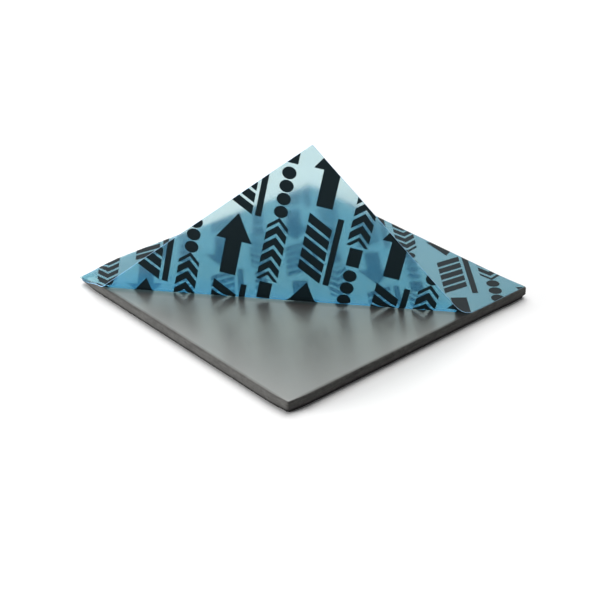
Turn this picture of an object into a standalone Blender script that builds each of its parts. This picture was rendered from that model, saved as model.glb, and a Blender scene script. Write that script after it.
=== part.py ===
"""Thermal pad sheet, die-cut square, with its release liner peeled up from one corner.

The pad lies on the XY plane with its origin at the centre of its bottom face. The liner is a film
of the pad's outline. It is still stuck to the pad behind the peel line, and in front of that line
it turns up through a conical bend into a flat flap. The free corner is the one at +X -Y.
"""

from math import atan2, cos, radians, sin

import bmesh
import bpy
from mathutils import Matrix, Vector

# Driving dimensions, in metres and degrees.
pad_length = 0.050  # along X
pad_width = 0.050  # along Y
pad_thickness = 0.002
corner_radius = 0.0005  # die-cut corners, of the pad and of the liner
edge_round = 0.00012  # soft top and bottom edges of the pad

liner_thickness = 0.0001
liner_clearance = 0.0003  # between the pad's top face and the liner's lower face

peel_front = 0.006  # stuck length of the liner's front edge, from the corner at -X -Y
peel_right = 0.0115  # stuck length of the liner's right edge, from the corner at +X +Y
apex_reach = 0.016  # from the peel line's front end out to the bend's apex
bend_half_angle = 2.2  # of the cone that the liner bends around
bend_turn = 85.0  # how far the liner turns up and back

corner_steps = 4
bend_steps = 8


def make_collection(name):
    collection = bpy.data.collections.new(name)
    bpy.context.scene.collection.children.link(collection)
    return collection


def make_material(name, colour, roughness, alpha=1.0):
    material = bpy.data.materials.new(name)
    material.use_nodes = True
    shader = material.node_tree.nodes["Principled BSDF"]
    shader.inputs["Base Color"].default_value = (*colour, 1.0)
    shader.inputs["Roughness"].default_value = roughness
    shader.inputs["Metallic"].default_value = 0.0
    shader.inputs["Alpha"].default_value = alpha
    return material


def add_object(name, bm, material, collection):
    mesh = bpy.data.meshes.new(name)
    bm.to_mesh(mesh)
    bm.free()
    mesh.materials.append(material)
    obj = bpy.data.objects.new(name, mesh)
    collection.objects.link(obj)
    return obj


def build_pad(collection):
    """Solid slab with rounded vertical corners and softened rims."""
    bm = bmesh.new()
    bmesh.ops.create_cube(bm, size=1.0)
    bmesh.ops.scale(bm, vec=(pad_length, pad_width, pad_thickness), verts=bm.verts)
    bmesh.ops.translate(bm, vec=(0.0, 0.0, pad_thickness / 2), verts=bm.verts)
    upright = [e for e in bm.edges if abs(e.verts[0].co.z - e.verts[1].co.z) > pad_thickness / 2]
    bmesh.ops.bevel(
        bm,
        geom=upright,
        offset=corner_radius,
        segments=corner_steps,
        profile=0.5,
        affect="EDGES",
        material=-1,
    )
    rims = [e for e in bm.edges if abs(e.verts[0].co.z - e.verts[1].co.z) < pad_thickness / 2]
    bmesh.ops.bevel(
        bm,
        geom=rims,
        offset=edge_round,
        segments=2,
        profile=0.5,
        affect="EDGES",
        material=-1,
    )
    silicone = make_material("pad_silicone", (0.25, 0.27, 0.26), 0.42)
    pad = add_object("thermal_pad", bm, silicone, collection)
    pad.data.shade_smooth()
    pad.data.set_sharp_from_angle(angle=radians(40.0))
    return pad


class PeelBend:
    """The map from the flat film to the peeled one. It keeps every length in the film."""

    def __init__(self):
        front_end = Vector((-pad_length / 2 + peel_front, -pad_width / 2))
        right_end = Vector((pad_length / 2, pad_width / 2 - peel_right))
        self.along = (right_end - front_end).normalized()
        self.forward = Vector((self.along.y, -self.along.x))
        self.apex = front_end - self.along * apex_reach
        self.half_angle = radians(bend_half_angle)
        self.turn = radians(bend_turn)
        self.film_angle = self.turn * sin(self.half_angle)
        along = self.along.to_3d()
        self.axis = along * cos(self.half_angle) + Vector((0.0, 0.0, sin(self.half_angle)))

    def cut_normal(self, angle):
        """Normal, in the flat film, of the line through the apex at this angle past the peel line."""
        return self.forward * cos(angle) - self.along * sin(angle)

    def generator(self, angle):
        """Ruling of the surface at a film angle, and the surface's direction across it."""
        turned = min(angle / sin(self.half_angle), self.turn)
        spin = Matrix.Rotation(-turned, 3, self.axis)
        return spin @ self.along.to_3d(), spin @ self.forward.to_3d()

    def place(self, point):
        """Where a point of the flat film lies once the film is peeled."""
        offset = point.to_2d() - self.apex
        angle = atan2(offset.dot(self.forward), offset.dot(self.along))
        if angle <= 0.0:
            return point.copy()
        ruling, across = self.generator(angle)
        flat_angle = max(angle - self.film_angle, 0.0)
        direction = ruling * cos(flat_angle) + across * sin(flat_angle)
        base = Vector((self.apex.x, self.apex.y, point.z))
        return base + direction * offset.length


def build_liner(collection):
    """Film of the pad's outline, cut along the rulings of the bend, folded up and given its thickness."""
    bend = PeelBend()
    bm = bmesh.new()
    bmesh.ops.create_grid(bm, x_segments=1, y_segments=1, size=0.5)
    bmesh.ops.scale(bm, vec=(pad_length, pad_width, 1.0), verts=bm.verts)
    bmesh.ops.bevel(
        bm,
        geom=list(bm.verts),
        offset=corner_radius,
        segments=corner_steps,
        profile=0.5,
        affect="VERTICES",
        material=-1,
    )
    bmesh.ops.translate(bm, vec=(0.0, 0.0, pad_thickness + liner_clearance), verts=bm.verts)
    for step in range(bend_steps + 1):
        angle = bend.film_angle * step / bend_steps
        bmesh.ops.bisect_plane(
            bm,
            geom=list(bm.verts) + list(bm.edges) + list(bm.faces),
            dist=1e-7,
            plane_co=bend.apex.to_3d(),
            plane_no=bend.cut_normal(angle).to_3d(),
        )
    for vert in bm.verts:
        vert.co = bend.place(vert.co)
    bmesh.ops.recalc_face_normals(bm, faces=bm.faces)
    film = make_material("liner_film", (0.18, 0.50, 0.62), 0.22, alpha=0.75)
    liner = add_object("release_liner", bm, film, collection)
    thickness = liner.modifiers.new("film_thickness", "SOLIDIFY")
    thickness.thickness = liner_thickness
    thickness.offset = 1.0
    thickness.use_even_offset = True
    return liner


def main():
    for obj in list(bpy.data.objects):
        bpy.data.objects.remove(obj, do_unlink=True)
    collection = make_collection("thermal_pad_sheet")
    build_pad(collection)
    build_liner(collection)


main()
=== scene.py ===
"""Thermal pad sheet with its printed release liner peeled up from one corner.

The pad is a die-cut slab of filled silicone. The liner is a translucent blue film of the pad's
outline, still stuck to the back half and standing up as a flap in front of the peel line.
"""

from math import atan2, cos, exp, radians, sin, sqrt
import bmesh
import bpy
from bpy.props import (
    FloatProperty,
    FloatVectorProperty,
    IntProperty,
    PointerProperty,
)
from mathutils import Matrix, Vector, noise


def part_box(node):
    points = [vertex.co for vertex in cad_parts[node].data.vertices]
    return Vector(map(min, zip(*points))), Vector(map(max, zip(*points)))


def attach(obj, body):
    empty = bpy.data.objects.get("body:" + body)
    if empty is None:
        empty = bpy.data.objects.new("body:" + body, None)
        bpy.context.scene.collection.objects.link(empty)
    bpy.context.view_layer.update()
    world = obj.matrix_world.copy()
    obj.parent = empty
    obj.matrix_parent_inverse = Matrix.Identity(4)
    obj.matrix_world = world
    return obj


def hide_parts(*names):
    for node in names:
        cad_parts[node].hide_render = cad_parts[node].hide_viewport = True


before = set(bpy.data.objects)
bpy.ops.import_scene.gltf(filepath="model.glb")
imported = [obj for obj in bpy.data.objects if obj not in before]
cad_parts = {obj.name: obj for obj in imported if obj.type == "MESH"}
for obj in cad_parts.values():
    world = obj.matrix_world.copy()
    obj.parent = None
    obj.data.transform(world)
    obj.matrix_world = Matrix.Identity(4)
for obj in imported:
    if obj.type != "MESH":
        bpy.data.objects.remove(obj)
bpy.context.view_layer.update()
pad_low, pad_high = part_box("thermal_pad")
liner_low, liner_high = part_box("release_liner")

bl_info = {
    "name": "Thermal Pad Sheet",
    "version": (1, 0, 0),
    "blender": (4, 5, 0),
    "location": "3D View > Sidebar > Thermal Pad",
    "description": "Die-cut thermal pad with a printed release liner peeled up from one corner",
    "category": "Object",
}

MM = 0.001
CAD_TOLERANCE = 0.4 * MM

# Mesh steps; the film's edge cuts are distances in from its -X and -Y edges
CUT_MERGE = 1e-7
PAD_GRID = 0.5 * MM
PAD_LAYER = 0.14 * MM
FILM_GRID = 1.25 * MM
FILM_EDGE_CUTS = (0.3 * MM, 0.6 * MM, 0.9 * MM, 1.5 * MM, 1.8 * MM)

# How far in from a side or a corner the pad follows what moves it there
EDGE_REACH = 4 * MM
SPREAD_REACH = 3.5 * MM
SAG_SHOULDER = 1.8 * MM
SAG_REACH = 4.5 * MM

# How wide the change from covered to bare is along the peel line; on the pad's face the band in
# front of the peel line carries a painted reflection of the flap
PEEL_BLEND = 2 * MM

# Sizes of the swells in the pad's face and of the waves in the flap
SWELL_SIZE = 9 * MM
WAVE_SIZE = 14 * MM
WAVE_START = 6 * MM
FILM_SAG = 0.97  # share of the pad's sag that the film follows

# Soft glows of the surround: heading, falloff and level
GLOWS = (
    ((-0.66, 0.60, 0.50), 6.0, 1.33),
    ((-0.40, 0.36, 1.00), 12.0, 1.25),
    ((-0.90, 0.36, 0.65), 20.0, 0.95),
)

# Soft lights: place and size
KEY_LIGHT = ((-0.33, -0.60, 0.10), (0.40, 0.16))
TOP_LIGHT = ((-0.10, 0.10, 0.70), (0.7, 0.7))

# The floor lies this far below the pad's base, so that the two faces don't coincide
FLOOR_DROP = 0.02 * MM


# Settings


class PadSettings(bpy.types.PropertyGroup):
    """Sizes and finish of the pad"""

    length: FloatProperty(
        name="Length",
        description="Side of the pad along X",
        default=pad_high.x - pad_low.x,
        unit="LENGTH",
    )
    width: FloatProperty(
        name="Width",
        description="Side of the pad along Y",
        default=pad_high.y - pad_low.y,
        unit="LENGTH",
    )
    thickness: FloatProperty(
        name="Thickness",
        description="From the pad's base to its top face",
        default=pad_high.z - pad_low.z,
        unit="LENGTH",
    )
    corner_radius: FloatProperty(
        name="Corner radius",
        description="Radius of the die-cut corners",
        default=0.5 * MM,
        unit="LENGTH",
    )
    rim_round: FloatProperty(
        name="Rim rounding",
        description="Softening of the top and bottom rims left by the die",
        default=0.34 * MM,
        unit="LENGTH",
    )
    cut_depth: FloatProperty(
        name="Cut relief",
        description="How far the cut sides depart from a plane",
        default=0.05 * MM,
        unit="LENGTH",
    )
    undercut: FloatProperty(
        name="Undercut",
        description="How far the die leaves the lower edge of the sides set back",
        default=0.26 * MM,
        unit="LENGTH",
    )
    bow: FloatProperty(
        name="Bow",
        description="How far the two front sides bow out between their corners",
        default=0.30 * MM,
        unit="LENGTH",
    )
    corner_spread: FloatProperty(
        name="Corner spread",
        description="How far the corner at +X +Y is pressed outwards",
        default=0.45 * MM,
        unit="LENGTH",
    )
    edge_sag: FloatProperty(
        name="Edge sag",
        description="How far the pressed edge sinks at the corner where the film starts",
        default=0.85 * MM,
        unit="LENGTH",
    )
    face_swell: FloatProperty(
        name="Face unevenness",
        description="Height of the gentle swells in the top face",
        default=0.012 * MM,
        unit="LENGTH",
    )
    face_colour: FloatVectorProperty(
        name="Face colour",
        description="Colour of the moulded top face",
        subtype="COLOR",
        min=0.0,
        max=1.0,
        default=(0.102, 0.096, 0.091),
    )
    # Painted light: the face under the film is the same grey silicone, and this bluish colour
    # paints on it the light that the film tints
    painted_film_light_colour: FloatVectorProperty(
        name="Covered colour",
        description="Colour of the face where the film still lies on it",
        subtype="COLOR",
        min=0.0,
        max=1.0,
        default=(0.145, 0.295, 0.335),
    )
    cut_colour: FloatVectorProperty(
        name="Cut colour",
        description="Colour of the die-cut sides",
        subtype="COLOR",
        min=0.0,
        max=1.0,
        default=(0.047, 0.046, 0.043),
    )
    face_gloss: FloatProperty(
        name="Face roughness",
        description="Roughness of the satin skin that the liner leaves on the pad",
        min=0.0,
        max=1.0,
        default=0.38,
    )


class LinerSettings(bpy.types.PropertyGroup):
    """Sizes, peel, finish and print of the release liner"""

    thickness: FloatProperty(
        name="Film thickness",
        description="Thickness of the release film",
        default=0.1 * MM,
        unit="LENGTH",
    )
    corner_radius: FloatProperty(
        name="Corner radius",
        description="Radius of the die-cut corners",
        default=0.14 * MM,
        unit="LENGTH",
    )
    gap: FloatProperty(
        name="Gap",
        description="From the pad's top face up to the upper face of the stuck film",
        default=0.05 * MM,
        unit="LENGTH",
    )
    shift: FloatProperty(
        name="Shift",
        description="How far the film was laid off the pad's outline, towards -Y",
        default=0.3 * MM,
        unit="LENGTH",
    )
    peel_front: FloatProperty(
        name="Stuck front edge",
        description="Stuck length of the front edge, from the corner at -X -Y",
        default=6.0 * MM,
        unit="LENGTH",
    )
    peel_right: FloatProperty(
        name="Stuck right edge",
        description="Stuck length of the right edge, from the corner at +X +Y",
        default=11.5 * MM,
        unit="LENGTH",
    )
    apex_reach: FloatProperty(
        name="Apex reach",
        description="From the peel line's front end out to the apex of the bend's cone",
        default=16.0 * MM,
        unit="LENGTH",
    )
    bend_half_angle: FloatProperty(
        name="Bend half angle",
        description="Half angle of the cone that the film bends around",
        subtype="ANGLE",
        default=radians(2.2),
    )
    bend_turn: FloatProperty(
        name="Bend turn",
        description="How far the film turns up and back",
        subtype="ANGLE",
        default=radians(85.0),
    )
    bend_steps: IntProperty(
        name="Bend steps",
        description="Strips that the bend is made of",
        min=4,
        default=20,
    )
    ripple: FloatProperty(
        name="Ripple",
        description="Height of the slight waves in the raised flap",
        default=0.10 * MM,
        unit="LENGTH",
    )
    film_colour: FloatVectorProperty(
        name="Film colour",
        description="Colour of the light that the tinted film scatters",
        subtype="COLOR",
        min=0.0,
        max=1.0,
        default=(0.075, 0.50, 0.91),
    )
    ink_colour: FloatVectorProperty(
        name="Ink colour",
        description="Colour of the printed marks",
        subtype="COLOR",
        min=0.0,
        max=1.0,
        default=(0.002, 0.009, 0.012),
    )
    openness: FloatProperty(
        name="Openness",
        description="Share of the light that passes one face of the film unscattered",
        min=0.0,
        max=1.0,
        default=0.86,
    )
    clear_tint: FloatVectorProperty(
        name="Clear tint",
        description="Colour of the light that passes the film unscattered",
        subtype="COLOR",
        min=0.0,
        max=1.0,
        default=(0.79, 0.85, 0.80),
    )
    haze: FloatProperty(
        name="Haze",
        description="Roughness that blurs what is seen through the film",
        min=0.0,
        max=1.0,
        default=0.13,
    )
    print_angle: FloatProperty(
        name="Print direction",
        description="Direction of the printed columns, from X",
        subtype="ANGLE",
        default=radians(-39.0),
    )
    print_pitch: FloatProperty(
        name="Print pitch",
        description="Between two columns of the same kind",
        default=12.2 * MM,
        unit="LENGTH",
    )


class StageSettings(bpy.types.PropertyGroup):
    """Floor, light and camera"""

    floor_size: FloatProperty(
        name="Floor size",
        description="Side of the floor",
        default=3.0,
        unit="LENGTH",
    )
    floor_colour: FloatVectorProperty(
        name="Floor colour",
        description="Colour of the floor",
        subtype="COLOR",
        min=0.0,
        max=1.0,
        default=(0.86, 0.86, 0.86),
    )
    sky_level: FloatProperty(
        name="Surround glow",
        description="Brightness of the glows of the surround",
        min=0.0,
        default=0.91,
    )
    sky_floor: FloatProperty(
        name="Surround floor",
        description="Brightness of the surround away from its glows",
        min=0.0,
        default=0.135,
    )
    key_power: FloatProperty(
        name="Key light",
        description="Power of the soft light at the left",
        min=0.0,
        default=7.9,
    )
    top_power: FloatProperty(
        name="Top light",
        description="Power of the soft light overhead",
        min=0.0,
        default=2.5,
    )
    camera_aim: FloatVectorProperty(
        name="Camera aim",
        description="Point that the camera looks at",
        subtype="TRANSLATION",
        unit="LENGTH",
        default=(2.225 * MM, -2.243 * MM, 0.0),
    )
    camera_distance: FloatProperty(
        name="Camera distance",
        description="From the camera to the point that it looks at",
        default=231.738 * MM,
        unit="LENGTH",
    )
    camera_azimuth: FloatProperty(
        name="Camera azimuth",
        description="Turn of the camera about the vertical; 0 looks along +Y",
        subtype="ANGLE",
        default=radians(47.741),
    )
    camera_elevation: FloatProperty(
        name="Camera elevation",
        description="Height of the camera above the horizon",
        subtype="ANGLE",
        default=radians(29.862),
    )
    camera_roll: FloatProperty(
        name="Camera roll",
        description="Turn of the camera about its own line of sight",
        subtype="ANGLE",
        default=radians(0.519),
    )
    camera_lens: FloatProperty(
        name="Focal length",
        description="Focal length on a 36 mm wide frame",
        unit="CAMERA",
        default=88.112,
    )


# Shader maths


class Number:
    """A number in a node tree. Arithmetic on it adds Math nodes."""

    def __init__(self, nodes, socket):
        self.nodes = nodes
        self.socket = socket

    def math(self, operation, *others):
        """One Math node on this number and the others."""
        inputs = dict(enumerate((self, *others)))
        return self.nodes.add("ShaderNodeMath", {"operation": operation}, inputs)

    def __add__(self, other):
        return self.math("ADD", other)

    __radd__ = __add__

    def __mul__(self, other):
        return self.math("MULTIPLY", other)

    __rmul__ = __mul__

    def __sub__(self, other):
        return self.math("SUBTRACT", other)

    def __rsub__(self, other):
        return self * -1.0 + other

    def __truediv__(self, other):
        return self.math("DIVIDE", other)

    def __mod__(self, other):
        return self.math("FLOORED_MODULO", other)

    def __abs__(self):
        return self.math("ABSOLUTE")

    def floor(self):
        return self.math("FLOOR")

    def sqrt(self):
        return self.math("SQRT")

    def lower(self, other):
        """The smaller of the two."""
        return self.math("MINIMUM", other)

    def upper(self, other):
        """The larger of the two."""
        return self.math("MAXIMUM", other)

    def limited(self):
        """Held between 0 and 1."""
        return self.upper(0.0).lower(1.0)


class Nodes:
    """Fills the node tree of a material or of the surround."""

    def __init__(self, tree):
        self.tree = tree
        tree.nodes.clear()

    def add(self, kind, settings=None, inputs=None, output=0):
        """One node: its settings, then its sockets by name or index, each a value or a link."""
        node = self.tree.nodes.new(kind)
        for name, value in (settings or {}).items():
            if name == "stops":
                ramp = node.color_ramp
                while len(ramp.elements) < len(value):
                    ramp.elements.new(0.5)
                for element, (position, colour) in zip(ramp.elements, value):
                    element.position = position
                    element.color = (*colour, 1.0)
            else:
                setattr(node, name, value)
        for name, value in (inputs or {}).items():
            socket = node.inputs[name]
            if isinstance(value, Number):
                self.tree.links.new(value.socket, socket)
            elif socket.type == "RGBA":
                socket.default_value = (*value, 1.0)
            else:
                socket.default_value = value
        return Number(self, node.outputs[output]) if node.outputs else None

    def mix_colour(self, factor, a, b):
        return self.add(
            "ShaderNodeMix", {"data_type": "RGBA"}, {0: factor, 6: a, 7: b}, output=2
        )

    def mix_shader(self, factor, a, b):
        return self.add("ShaderNodeMixShader", None, {0: factor, 1: a, 2: b})

    def object_coordinates(self):
        return self.add("ShaderNodeTexCoord", output="Object")

    def split(self, vector):
        """The three numbers of a vector."""
        first = self.add("ShaderNodeSeparateXYZ", None, {0: vector})
        return [Number(self, socket) for socket in first.socket.node.outputs]

    def noise(self, vector, size, detail=2.0, roughness=0.5):
        """Noise around 0.5 with features of this size in metres."""
        return self.add(
            "ShaderNodeTexNoise",
            None,
            {
                "Vector": vector,
                "Scale": 1.0 / size,
                "Detail": detail,
                "Roughness": roughness,
            },
        )

    def stretched(self, vector, scale):
        """The vector scaled along each axis."""
        return self.add("ShaderNodeVectorMath", {"operation": "MULTIPLY"}, {0: vector, 1: scale})

    def scaled(self, colour, shade):
        """The colour made lighter or darker by a number."""
        return self.add(
            "ShaderNodeVectorMath", {"operation": "SCALE"}, {0: colour, "Scale": shade}
        )

    def bump(self, height, depth):
        """A normal for relief of this depth in metres where the height runs from 0 to 1."""
        return self.add("ShaderNodeBump", None, {"Distance": depth, "Height": height})


def new_material(name):
    material = bpy.data.materials.new(name)
    material.use_nodes = True
    return material, Nodes(material.node_tree)


# Mesh helpers


def add_piece(name, bm, materials, slot=None):
    """An object at the origin with this mesh. With a slot, it is a finished piece of the body."""
    mesh = bpy.data.meshes.new(name)
    bm.to_mesh(mesh)
    bm.free()
    for material in materials:
        mesh.materials.append(material)
    piece = bpy.data.objects.new(name, mesh)
    bpy.context.scene.collection.objects.link(piece)
    if slot:
        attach(piece, "root")
    return piece


def slice_plane(bm, place, normal):
    """Cuts the mesh by one plane and keeps both sides."""
    geom = list(bm.verts) + list(bm.edges) + list(bm.faces)
    bmesh.ops.bisect_plane(bm, geom=geom, dist=CUT_MERGE, plane_co=place, plane_no=normal)


def slice_at(bm, axis, places):
    """Cuts the mesh by planes across an axis."""
    normal = Vector((axis == 0, axis == 1, axis == 2))
    for place in places:
        slice_plane(bm, normal * place, normal)


def slice_every(bm, axis, low, high, step):
    """Cuts the mesh by planes across an axis, a step apart."""
    count = max(1, round((high - low) / step))
    slice_at(bm, axis, [low + (high - low) * i / count for i in range(1, count)])


# Bend of the film


class PeelBend:
    """The map from the flat film to the peeled one. It keeps every length in the film.

    The film bends around a cone. The cone's apex lies on the peel line, beyond its front end, and
    the rulings are the straight lines of the film through that apex.
    """

    def __init__(self, pad, liner):
        front_end = Vector((-pad.length / 2 + liner.peel_front, -pad.width / 2))
        right_end = Vector((pad.length / 2, pad.width / 2 - liner.peel_right))
        self.along = (right_end - front_end).normalized()
        self.forward = Vector((self.along.y, -self.along.x))
        self.apex = front_end - self.along * liner.apex_reach
        self.slope = sin(liner.bend_half_angle)
        self.turn = liner.bend_turn
        self.film_angle = self.turn * self.slope
        along = self.along.to_3d()
        self.axis = along * cos(liner.bend_half_angle) + Vector((0.0, 0.0, self.slope))

    def cut_normal(self, angle):
        """Normal, in the flat film, of the ruling at this angle past the peel line."""
        return self.forward * cos(angle) - self.along * sin(angle)

    def past_peel(self, x, y):
        """Distance in front of the peel line, on the flat film."""
        return (x - self.apex.x) * self.forward.x + (y - self.apex.y) * self.forward.y

    def film_place(self, point):
        """Distance from the apex and angle past the peel line of a point of the flat film."""
        offset = point.to_2d() - self.apex
        return offset.length, atan2(offset.dot(self.forward), offset.dot(self.along))

    def place(self, point, lift=0.0):
        """Where a point of the flat film lies once the film is peeled, lifted off its surface."""
        reach, angle = self.film_place(point)
        if angle <= 0.0:
            return point + Vector((0.0, 0.0, lift))
        spin = Matrix.Rotation(-min(angle / self.slope, self.turn), 3, self.axis)
        ruling = spin @ self.along.to_3d()
        across = spin @ self.forward.to_3d()
        flat_angle = max(angle - self.film_angle, 0.0)
        direction = ruling * cos(flat_angle) + across * sin(flat_angle)
        base = Vector((self.apex.x, self.apex.y, point.z))
        return base + direction * reach + across.cross(ruling) * lift


# Pad


def pad_material(pad, bend):
    """Filled silicone: satin where the liner is off it, matt under the film and at the cuts. Under
    the film it carries painted film-tinted light, in front of the peel line a painted reflection
    of the flap, and painted shade at the rims and along the foot of the sides.
    """
    material, nodes = new_material("filled_silicone")
    place = nodes.object_coordinates()
    x, y, z = nodes.split(place)
    up = nodes.split(nodes.add("ShaderNodeNewGeometry", output="Normal"))[2]

    # Bare skin, which ends softly at the rims in painted shade, and the part of the face under the
    # film, which carries painted film-tinted light, with a painted reflection of the flap in front
    # of the peel line
    flat = ((abs(up) - 0.92) / 0.07).limited()
    underside = (up * -4.0).limited()
    off_film = (bend.past_peel(x, y) / PEEL_BLEND).limited()
    inset = (pad.length / 2 - abs(x)).lower(pad.width / 2 - abs(y))
    # Painted shade of the rounded rims: over them the skin gives way to the darker matt cut
    # finish, fading in over about 0.45 mm from the edge
    bare = flat * off_film.upper(underside) * (inset / (0.7 * MM) + 0.35).limited()
    # Painted reflection of the flap: the film-tinted colour runs on for PEEL_BLEND in front of the
    # peel line
    under_film_and_fold_reflection = (1.0 - off_film) * (inset / (0.2 * MM) + 0.5).limited()
    # Painted film-tinted light on the upward face where the film lies, fading out in front of the
    # peel line
    painted_film_light_share = ((up - 0.35) / 0.25).limited() * under_film_and_fold_reflection

    mottle = nodes.noise(place, 7 * MM, 3.0, 0.6)
    grain = nodes.noise(place, 0.22 * MM, 2.0, 0.6)
    filler = nodes.noise(place, 0.6 * MM, 1.0)
    blotches = nodes.noise(place, 0.9 * MM, 3.0, 0.6)
    streaks = nodes.noise(nodes.stretched(place, (0.16, 0.16, 1.0)), 0.3 * MM, 4.0, 0.75)
    # Painted shade along the foot of the cut sides, darkening from 0.94 mm down to 0.58 mm above
    # the base
    painted_foot_shade = ((z - 0.58 * MM) / (0.36 * MM)).limited() * 0.94 + 0.06

    face_shade = 0.86 + mottle * 0.16 + grain * 0.12
    face_colour = nodes.scaled(tuple(pad.face_colour), face_shade)
    painted_film_light_colour = nodes.scaled(tuple(pad.painted_film_light_colour), face_shade)
    # Cut marks in streaks and blotches, times the painted shade at the foot
    cut_streaks_and_foot_shade = (streaks * 2.4 + blotches - 0.7).upper(0.15) * painted_foot_shade
    cut_colour = nodes.scaled(tuple(pad.cut_colour), cut_streaks_and_foot_shade)
    skin_relief = nodes.bump(grain * 0.6 + filler * 0.4, 0.006 * MM)
    matt_relief = nodes.bump(streaks, 0.05 * MM)
    skin_rough = pad.face_gloss + (mottle - 0.5) * 0.10 + (filler - 0.5) * 0.05
    skin = nodes.add(
        "ShaderNodeBsdfPrincipled",
        None,
        {"Base Color": face_colour, "Roughness": skin_rough, "IOR": 2.55, "Normal": skin_relief},
    )
    matt = nodes.add(
        "ShaderNodeBsdfPrincipled",
        None,
        {
            "Base Color": nodes.mix_colour(painted_film_light_share, cut_colour, painted_film_light_colour),
            "Roughness": 0.62 + streaks * 0.2,
            "IOR": 1.35,
            "Normal": matt_relief,
        },
    )
    nodes.add("ShaderNodeOutputMaterial", None, {"Surface": nodes.mix_shader(bare, matt, skin)})
    return material


def cut_relief(point, settings):
    """How far a point of a cut side stands out: the die's wander and tear, and one ridge."""
    x, y, z = point

    def wobble(length, height, seed):
        """Noise whose features have this length along the side and this height."""
        return noise.noise(Vector(((x - y) / length, z / height, seed)))

    wander = wobble(4 * MM, 1.2 * MM, 3.1)
    tear = wobble(0.9 * MM, 0.3 * MM, 8.7)
    ridge = max(0.0, 1.0 - abs(z - 0.32 * settings.thickness) / (0.24 * MM))
    return settings.cut_depth * (0.5 * wander + 0.7 * tear + 1.4 * ridge)


def smooth_step(share):
    """The share held between 0 and 1, with soft ends."""
    share = max(0.0, min(1.0, share))
    return share * share * (3 - 2 * share)


def near_side(distance):
    """Share of a side's move that a point at this distance from it follows."""
    return max(0.0, 1.0 - distance / EDGE_REACH)


def press_outline(point, settings):
    """Moves a point for the undercut, the bow of the front sides and the spread corner."""
    x, y, z = point
    halves = (settings.length / 2, settings.width / 2)

    # Undercut, a little deeper at the corner at -X -Y
    end = max(0.0, -(x + y) / settings.length - 0.82) / 0.18
    low = smooth_step((0.42 - z / settings.thickness) / 0.2)
    depth = settings.undercut * low * (1.0 + 0.4 * end * end)
    for axis, half in enumerate(halves):
        inwards = -1 if point[axis] > 0.0 else 1
        point[axis] += inwards * depth * near_side(half - abs(point[axis]))

    # Bow of the sides at +X and -Y, none at their corners
    for axis, outwards in ((0, 1), (1, -1)):
        from_corner = halves[1 - axis] - abs((y, x)[axis])
        bow = settings.bow * smooth_step(from_corner / EDGE_REACH)
        point[axis] += outwards * bow * near_side(halves[axis] - outwards * point[axis])

    # Corner at +X +Y, pressed out along the diagonal
    to_corner = Vector((halves[0] - x, halves[1] - y)).length
    spread = settings.corner_spread * exp(-((to_corner / SPREAD_REACH) ** 2)) / sqrt(2.0)
    point.x += spread
    point.y += spread


def sag(x, y, settings, bend):
    """How far the pad's edge, and the film stuck to it, sink at this place."""
    ends, sides = (
        max(0.0, 1.0 - (half - abs(place)) / SAG_SHOULDER) ** 2
        for half, place in ((settings.length / 2, x), (settings.width / 2, y))
    )
    shoulder = sides + ends - sides * ends
    from_corner = Vector((x + settings.length / 2, y + settings.width / 2)).length
    stuck = max(0.0, min(1.0, -bend.past_peel(x, y) / PEEL_BLEND))
    near = exp(-((from_corner / SAG_REACH) ** 2))
    return settings.edge_sag * shoulder * stuck * (0.06 + 0.94 * near)


def build_pad(settings, liner):
    """Slab cut fine enough for the relief of its cut sides and the swells of its face."""
    bend = PeelBend(settings, liner)
    bm = bmesh.new()
    size = Vector((settings.length, settings.width, settings.thickness))
    bmesh.ops.create_cube(bm, size=1.0)
    bmesh.ops.scale(bm, vec=size, verts=bm.verts)
    bmesh.ops.translate(bm, vec=(0.0, 0.0, size.z / 2), verts=bm.verts)

    def is_upright(edge):
        return abs(edge.verts[0].co.z - edge.verts[1].co.z) > size.z / 2

    rounding = {"profile": 0.5, "affect": "EDGES", "material": -1}
    upright = [edge for edge in bm.edges if is_upright(edge)]
    bmesh.ops.bevel(bm, geom=upright, offset=settings.corner_radius, segments=6, **rounding)
    rims = [edge for edge in bm.edges if not is_upright(edge)]
    bmesh.ops.bevel(bm, geom=rims, offset=settings.rim_round, segments=4, **rounding)
    for axis in (0, 1):
        slice_every(bm, axis, -size[axis] / 2, size[axis] / 2, PAD_GRID)
    slice_every(bm, 2, settings.rim_round, size.z - settings.rim_round, PAD_LAYER)

    bm.normal_update()
    for vert in bm.verts:
        x, y, z = vert.co
        out = Vector((vert.normal.x, vert.normal.y, 0.0))
        if out.length > 0.1:
            vert.co += out * cut_relief(vert.co, settings)
        press_outline(vert.co, settings)
        give = max(0.0, z / size.z - 0.25) / 0.75
        vert.co.z -= sag(x, y, settings, bend) * give
        if z > 0.9 * size.z:
            vert.co.z += settings.face_swell * noise.noise(Vector((x, y, 0.0)) / SWELL_SIZE)
    bmesh.ops.recalc_face_normals(bm, faces=bm.faces)

    pad = add_piece("pad_slab", bm, [pad_material(settings, bend)], slot="pad_silicone")
    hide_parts("thermal_pad")
    pad.data.shade_smooth()
    pad.data.set_sharp_from_angle(angle=radians(60.0))
    return pad


# Release liner


def flat_film_place(nodes, pad):
    """X and Y of a point of the film as it lay flat on the pad."""
    u, v, _ = nodes.split(nodes.add("ShaderNodeUVMap", {"uv_map": "film"}))
    return (u - 0.5) * pad.length, (v - 0.5) * pad.width


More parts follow.
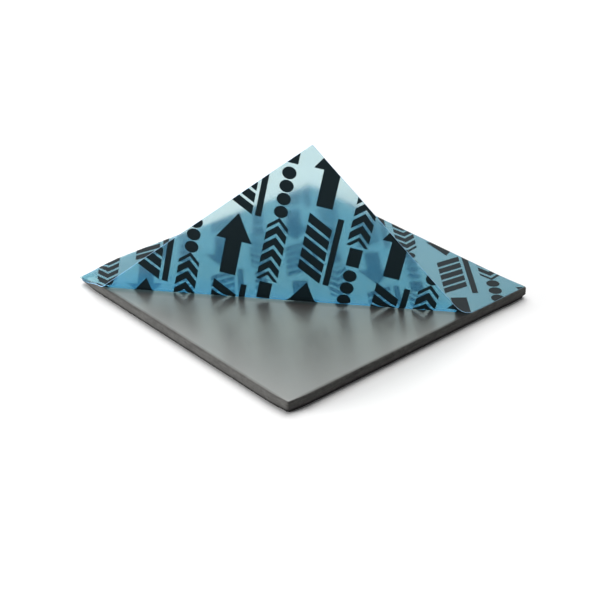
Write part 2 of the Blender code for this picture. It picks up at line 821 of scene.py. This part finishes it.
def print_mask(x, y, pad, liner):
    """Generic print in slanting columns: arrows with hatched bars, and chevrons with dots.

    Here x, y and the sizes of the marks are in millimetres.
    """
    c, s = cos(liner.print_angle), sin(liner.print_angle)
    along = x * c + y * s
    side = y * c - x * s
    pitch = liner.print_pitch / MM
    soft = 0.06
    repeat = 25.0

    def inside(distance):
        """Ink where the distance is below zero, with a soft edge."""
        return (0.5 - distance / soft).limited()

    def box(u, v, low, high, half):
        """Distance outside a box of this half width, from low to high along u."""
        return (abs(u - (low + high) / 2) - (high - low) / 2).upper(abs(v) - half)

    def bars(run, gap, half):
        """Distance outside bars of this half width that follow each other by this gap."""
        return abs(run % gap - gap / 2) - half

    # Bold columns
    shifted = side + pitch / 2
    row = (shifted / pitch).floor()
    across = shifted % pitch - pitch / 2
    run = (along + row * 9.3) % repeat
    shaft = box(run, across, 0.3, 6.8, 1.25)
    head = (abs(across) - (11.5 - run) * 0.56).upper(6.6 - run)
    hatch_run = run + across * 0.55
    hatch = bars(hatch_run, 2.1, 0.78).upper(box(hatch_run, across, 12.6, 23.1, 1.9))
    rule = box(run, across - 2.85, 11.8, 24.0, 0.46)
    ink = inside(shaft.lower(head).lower(hatch).lower(rule))

    # Light columns
    row = (side / pitch).floor()
    across = side % pitch - pitch / 2
    run = (along + row * 15.1 + 5.0) % repeat
    folded = run + abs(across)
    chevrons = bars(folded, 2.1, 0.70).upper(box(folded, across, 1.05, 11.55, 1.6))
    dot_run = run % 2.3 - 1.15
    from_dot = (dot_run * dot_run + across * across).sqrt()
    dots = (from_dot - 1.05).upper(box(run, across, 11.5, 20.7, 2.0))
    dash = box(run, across, 21.3, 24.6, 1.0)
    ink = ink.upper(inside(chevrons.lower(dots).lower(dash)))

    # The corner where the film starts is bare
    to_corner = (pad.length + pad.width) / 2 / MM
    return ink * (1.0 - inside(x + y + to_corner - 2.8))


def film_material(pad, liner, bend):
    """Clear blue release film that scatters a little, with opaque black print."""
    material, nodes = new_material("blue_release_film")
    place = nodes.object_coordinates()
    x, y = flat_film_place(nodes, pad)
    ink = print_mask(x / MM, y / MM, pad, liner)
    cloud = nodes.noise(place, 6 * MM, 2.0)

    # Light that the film scatters
    tint = tuple(liner.film_colour)
    film = nodes.add(
        "ShaderNodeBsdfPrincipled",
        None,
        {"Base Color": tint, "Roughness": 0.20 + cloud * 0.06, "IOR": 1.34},
    )
    glow = nodes.add("ShaderNodeBsdfTranslucent", None, {"Color": tint})
    film = nodes.mix_shader(0.5, film, glow)

    # Light that passes it
    clear_tint = tuple(liner.clear_tint)
    haze = nodes.add(
        "ShaderNodeBsdfGlass",
        None,
        {"Color": clear_tint, "Roughness": liner.haze, "IOR": 1.34},
    )
    for_light = nodes.add("ShaderNodeLightPath", output="Is Shadow Ray").upper(
        nodes.add("ShaderNodeLightPath", output="Is Diffuse Ray")
    )
    passed = nodes.add("ShaderNodeBsdfTransparent", None, {"Color": clear_tint})
    clear = nodes.mix_shader(for_light, haze, passed)

    # Less of it where the film is strained along its fold
    past = bend.past_peel(x, y)
    strained = (past / MM).limited() * (1.0 - past / (4.5 * MM)).limited()
    graze = nodes.add("ShaderNodeLayerWeight", None, {"Blend": 0.5}, output="Facing")
    openness = (liner.openness + (cloud - 0.5) * 0.04) * (1.0 - strained * 0.20)
    openness = openness * (1.0 - graze * graze * graze * 0.5)
    film = nodes.mix_shader(openness, film, clear)

    black = nodes.add(
        "ShaderNodeBsdfPrincipled",
        None,
        {"Base Color": tuple(liner.ink_colour), "Roughness": 0.62, "IOR": 1.22},
    )
    nodes.add("ShaderNodeOutputMaterial", None, {"Surface": nodes.mix_shader(ink, film, black)})
    return material


def edge_material(liner):
    """Cut edge of the film, paler than its faces."""
    material, nodes = new_material("film_cut_edge")
    place = nodes.object_coordinates()
    fray = nodes.noise(place, 0.3 * MM, 2.0)
    tint = tuple(liner.film_colour)
    pale = tuple(0.6 + channel * 0.4 for channel in tint)
    colour = nodes.mix_colour(fray, tint, pale)
    film = nodes.add(
        "ShaderNodeBsdfPrincipled",
        None,
        {"Base Color": colour, "Roughness": 0.4, "IOR": 1.46},
    )
    clear = nodes.add("ShaderNodeBsdfTransparent")
    share = 0.3 + (fray - 0.5) * 0.2
    nodes.add("ShaderNodeOutputMaterial", None, {"Surface": nodes.mix_shader(share, film, clear)})
    return material


def check_against_cad(bend, pad):
    """Raises if the peeled corner isn't where the frame has it."""
    corner = Vector((pad.length / 2, -pad.width / 2, liner_low.z))
    tip = bend.place(corner)
    if abs(tip.z - liner_high.z) > CAD_TOLERANCE:
        raise RuntimeError("the liner's bend and the packed liner disagree")


def build_liner(pad, liner):
    """Film cut along the rulings of its bend, peeled up, rippled and given its thickness."""
    bend = PeelBend(pad, liner)
    check_against_cad(bend, pad)
    on_pad = Vector((0.0, 0.0, pad.thickness + liner.gap))
    bm = bmesh.new()
    bmesh.ops.create_grid(bm, x_segments=1, y_segments=1, size=0.5)
    bmesh.ops.scale(bm, vec=(pad.length, pad.width, 1.0), verts=bm.verts)
    bmesh.ops.bevel(
        bm,
        geom=list(bm.verts),
        offset=liner.corner_radius,
        segments=6,
        profile=0.5,
        affect="VERTICES",
        material=-1,
    )
    for axis in (0, 1):
        half = (pad.length, pad.width)[axis] / 2
        slice_every(bm, axis, -half, half, FILM_GRID)
        slice_at(bm, axis, [-half + inset for inset in FILM_EDGE_CUTS])
    for step in range(liner.bend_steps + 1):
        normal = bend.cut_normal(bend.film_angle * step / liner.bend_steps)
        slice_plane(bm, bend.apex.to_3d(), normal.to_3d())

    film = bm.loops.layers.uv.new("film")
    for face in bm.faces:
        for loop in face.loops:
            x, y, _ = loop.vert.co
            loop[film].uv = (x / pad.length + 0.5, y / pad.width + 0.5)

    for vert in bm.verts:
        flat = vert.co - Vector((0.0, liner.shift, 0.0))
        reach, angle = bend.film_place(flat)
        past_bend = reach * (angle - bend.film_angle)
        wave = noise.noise(flat / WAVE_SIZE) * max(0.0, min(1.0, past_bend / WAVE_START))
        vert.co = bend.place(flat + on_pad, lift=liner.ripple * wave)
        vert.co.z -= sag(flat.x, flat.y, pad, bend) * FILM_SAG
    bmesh.ops.recalc_face_normals(bm, faces=bm.faces)

    sheet = add_piece("liner_film", bm, [film_material(pad, liner, bend), edge_material(liner)])
    # The thickness goes downwards, so the stuck part's lower face lies inside the pad's top
    shell = sheet.modifiers.new("film_thickness", "SOLIDIFY")
    shell.thickness = liner.thickness
    shell.offset = 1.0
    shell.use_even_offset = True
    shell.material_offset_rim = 1
    solid = bpy.data.meshes.new_from_object(
        sheet.evaluated_get(bpy.context.evaluated_depsgraph_get())
    )
    sheet.modifiers.remove(shell)
    sheet.data = solid
    solid.shade_smooth()
    solid.set_sharp_from_angle(angle=radians(50.0))
    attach(sheet, "root")
    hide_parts("release_liner")
    return sheet


# Stage


def floor_material(settings):
    """Plain pale floor, barely mottled."""
    material, nodes = new_material("pale_floor")
    place = nodes.object_coordinates()
    cloud = nodes.noise(place, 60 * MM, 2.0)
    pale = tuple(settings.floor_colour)
    colour = nodes.mix_colour(cloud, tuple(channel * 0.99 for channel in pale), pale)
    shader = nodes.add(
        "ShaderNodeBsdfPrincipled",
        None,
        {"Base Color": colour, "Roughness": 0.7},
    )
    nodes.add("ShaderNodeOutputMaterial", None, {"Surface": shader})
    return material


def add_soft_light(name, power, place, size):
    """Area light that faces the origin."""
    light = bpy.data.lights.new(name, "AREA")
    light.shape = "RECTANGLE"
    light.size, light.size_y = size
    light.energy = power
    lamp = bpy.data.objects.new(name, light)
    lamp.location = place
    lamp.rotation_euler = Vector(place).to_track_quat("Z", "Y").to_euler()
    bpy.context.scene.collection.objects.link(lamp)


def build_stage(settings):
    """Floor, surround, soft lights and camera."""
    bm = bmesh.new()
    bmesh.ops.create_grid(bm, x_segments=1, y_segments=1, size=settings.floor_size / 2)
    bmesh.ops.translate(bm, vec=(0.0, 0.0, -FLOOR_DROP), verts=bm.verts)
    add_piece("floor", bm, [floor_material(settings)])

    scene = bpy.context.scene
    scene.view_settings.view_transform = "Standard"
    world = bpy.data.worlds.new("surround")
    world.use_nodes = True
    scene.world = world
    nodes = Nodes(world.node_tree)
    around = nodes.add("ShaderNodeTexCoord", output="Generated")
    strength = settings.sky_floor
    for heading, falloff, level in GLOWS:
        facing = nodes.add(
            "ShaderNodeVectorMath",
            {"operation": "DOT_PRODUCT"},
            {0: around, 1: Vector(heading).normalized()},
            output=1,
        )
        glow = (facing * 0.5 + 0.5).math("POWER", falloff)
        strength = glow * (level * settings.sky_level) + strength
    sky = nodes.add(
        "ShaderNodeBackground", None, {"Color": (1.0, 1.0, 1.0), "Strength": strength}
    )
    nodes.add("ShaderNodeOutputWorld", None, {"Surface": sky})

    add_soft_light("key_light", settings.key_power, *KEY_LIGHT)
    add_soft_light("top_light", settings.top_power, *TOP_LIGHT)

    azimuth, elevation = settings.camera_azimuth, settings.camera_elevation
    back = Vector(
        (
            sin(azimuth) * cos(elevation),
            -cos(azimuth) * cos(elevation),
            sin(elevation),
        )
    )
    lens = bpy.data.cameras.new("camera")
    lens.lens = settings.camera_lens
    lens.sensor_width = 36.0
    lens.clip_start = 0.01
    camera = bpy.data.objects.new("camera", lens)
    camera.location = Vector(settings.camera_aim) + back * settings.camera_distance
    turn = back.to_track_quat("Z", "Y").to_matrix() @ Matrix.Rotation(settings.camera_roll, 3, "Z")
    camera.rotation_euler = turn.to_euler()
    scene.collection.objects.link(camera)
    scene.camera = camera


# Operators and panel


class MESH_OT_thermal_pad(bpy.types.Operator):
    """Build the die-cut silicone pad"""

    bl_idname = "mesh.thermal_pad"
    bl_label = "Pad"

    def execute(self, context):
        build_pad(context.scene.thermal_pad, context.scene.release_liner)
        return {"FINISHED"}


class MESH_OT_release_liner(bpy.types.Operator):
    """Build the printed release liner, peeled up from the front corner"""

    bl_idname = "mesh.release_liner"
    bl_label = "Release liner"

    def execute(self, context):
        build_liner(context.scene.thermal_pad, context.scene.release_liner)
        return {"FINISHED"}


class SCENE_OT_pad_stage(bpy.types.Operator):
    """Build the floor, the soft lights and the camera"""

    bl_idname = "scene.pad_stage"
    bl_label = "Stage"

    def execute(self, context):
        build_stage(context.scene.pad_stage)
        return {"FINISHED"}


class VIEW3D_PT_thermal_pad(bpy.types.Panel):
    """Sizes, colours and steps of the thermal pad sheet"""

    bl_idname = "VIEW3D_PT_thermal_pad"
    bl_label = "Thermal Pad Sheet"
    bl_space_type = "VIEW_3D"
    bl_region_type = "UI"
    bl_category = "Thermal Pad"

    def draw(self, context):
        scene = context.scene
        for operator, group in (
            (MESH_OT_thermal_pad, scene.thermal_pad),
            (MESH_OT_release_liner, scene.release_liner),
            (SCENE_OT_pad_stage, scene.pad_stage),
        ):
            box = self.layout.box()
            box.operator(operator.bl_idname)
            for name in group.__annotations__:
                box.prop(group, name)


classes = (
    PadSettings,
    LinerSettings,
    StageSettings,
    MESH_OT_thermal_pad,
    MESH_OT_release_liner,
    SCENE_OT_pad_stage,
    VIEW3D_PT_thermal_pad,
)


def register():
    for cls in classes:
        bpy.utils.register_class(cls)
    bpy.types.Scene.thermal_pad = PointerProperty(type=PadSettings)
    bpy.types.Scene.release_liner = PointerProperty(type=LinerSettings)
    bpy.types.Scene.pad_stage = PointerProperty(type=StageSettings)


def unregister():
    del bpy.types.Scene.pad_stage
    del bpy.types.Scene.release_liner
    del bpy.types.Scene.thermal_pad
    for cls in reversed(classes):
        bpy.utils.unregister_class(cls)


def main():
    register()
    bpy.ops.mesh.thermal_pad()
    bpy.ops.mesh.release_liner()
    bpy.ops.scene.pad_stage()


if __name__ == "__main__":
    main()
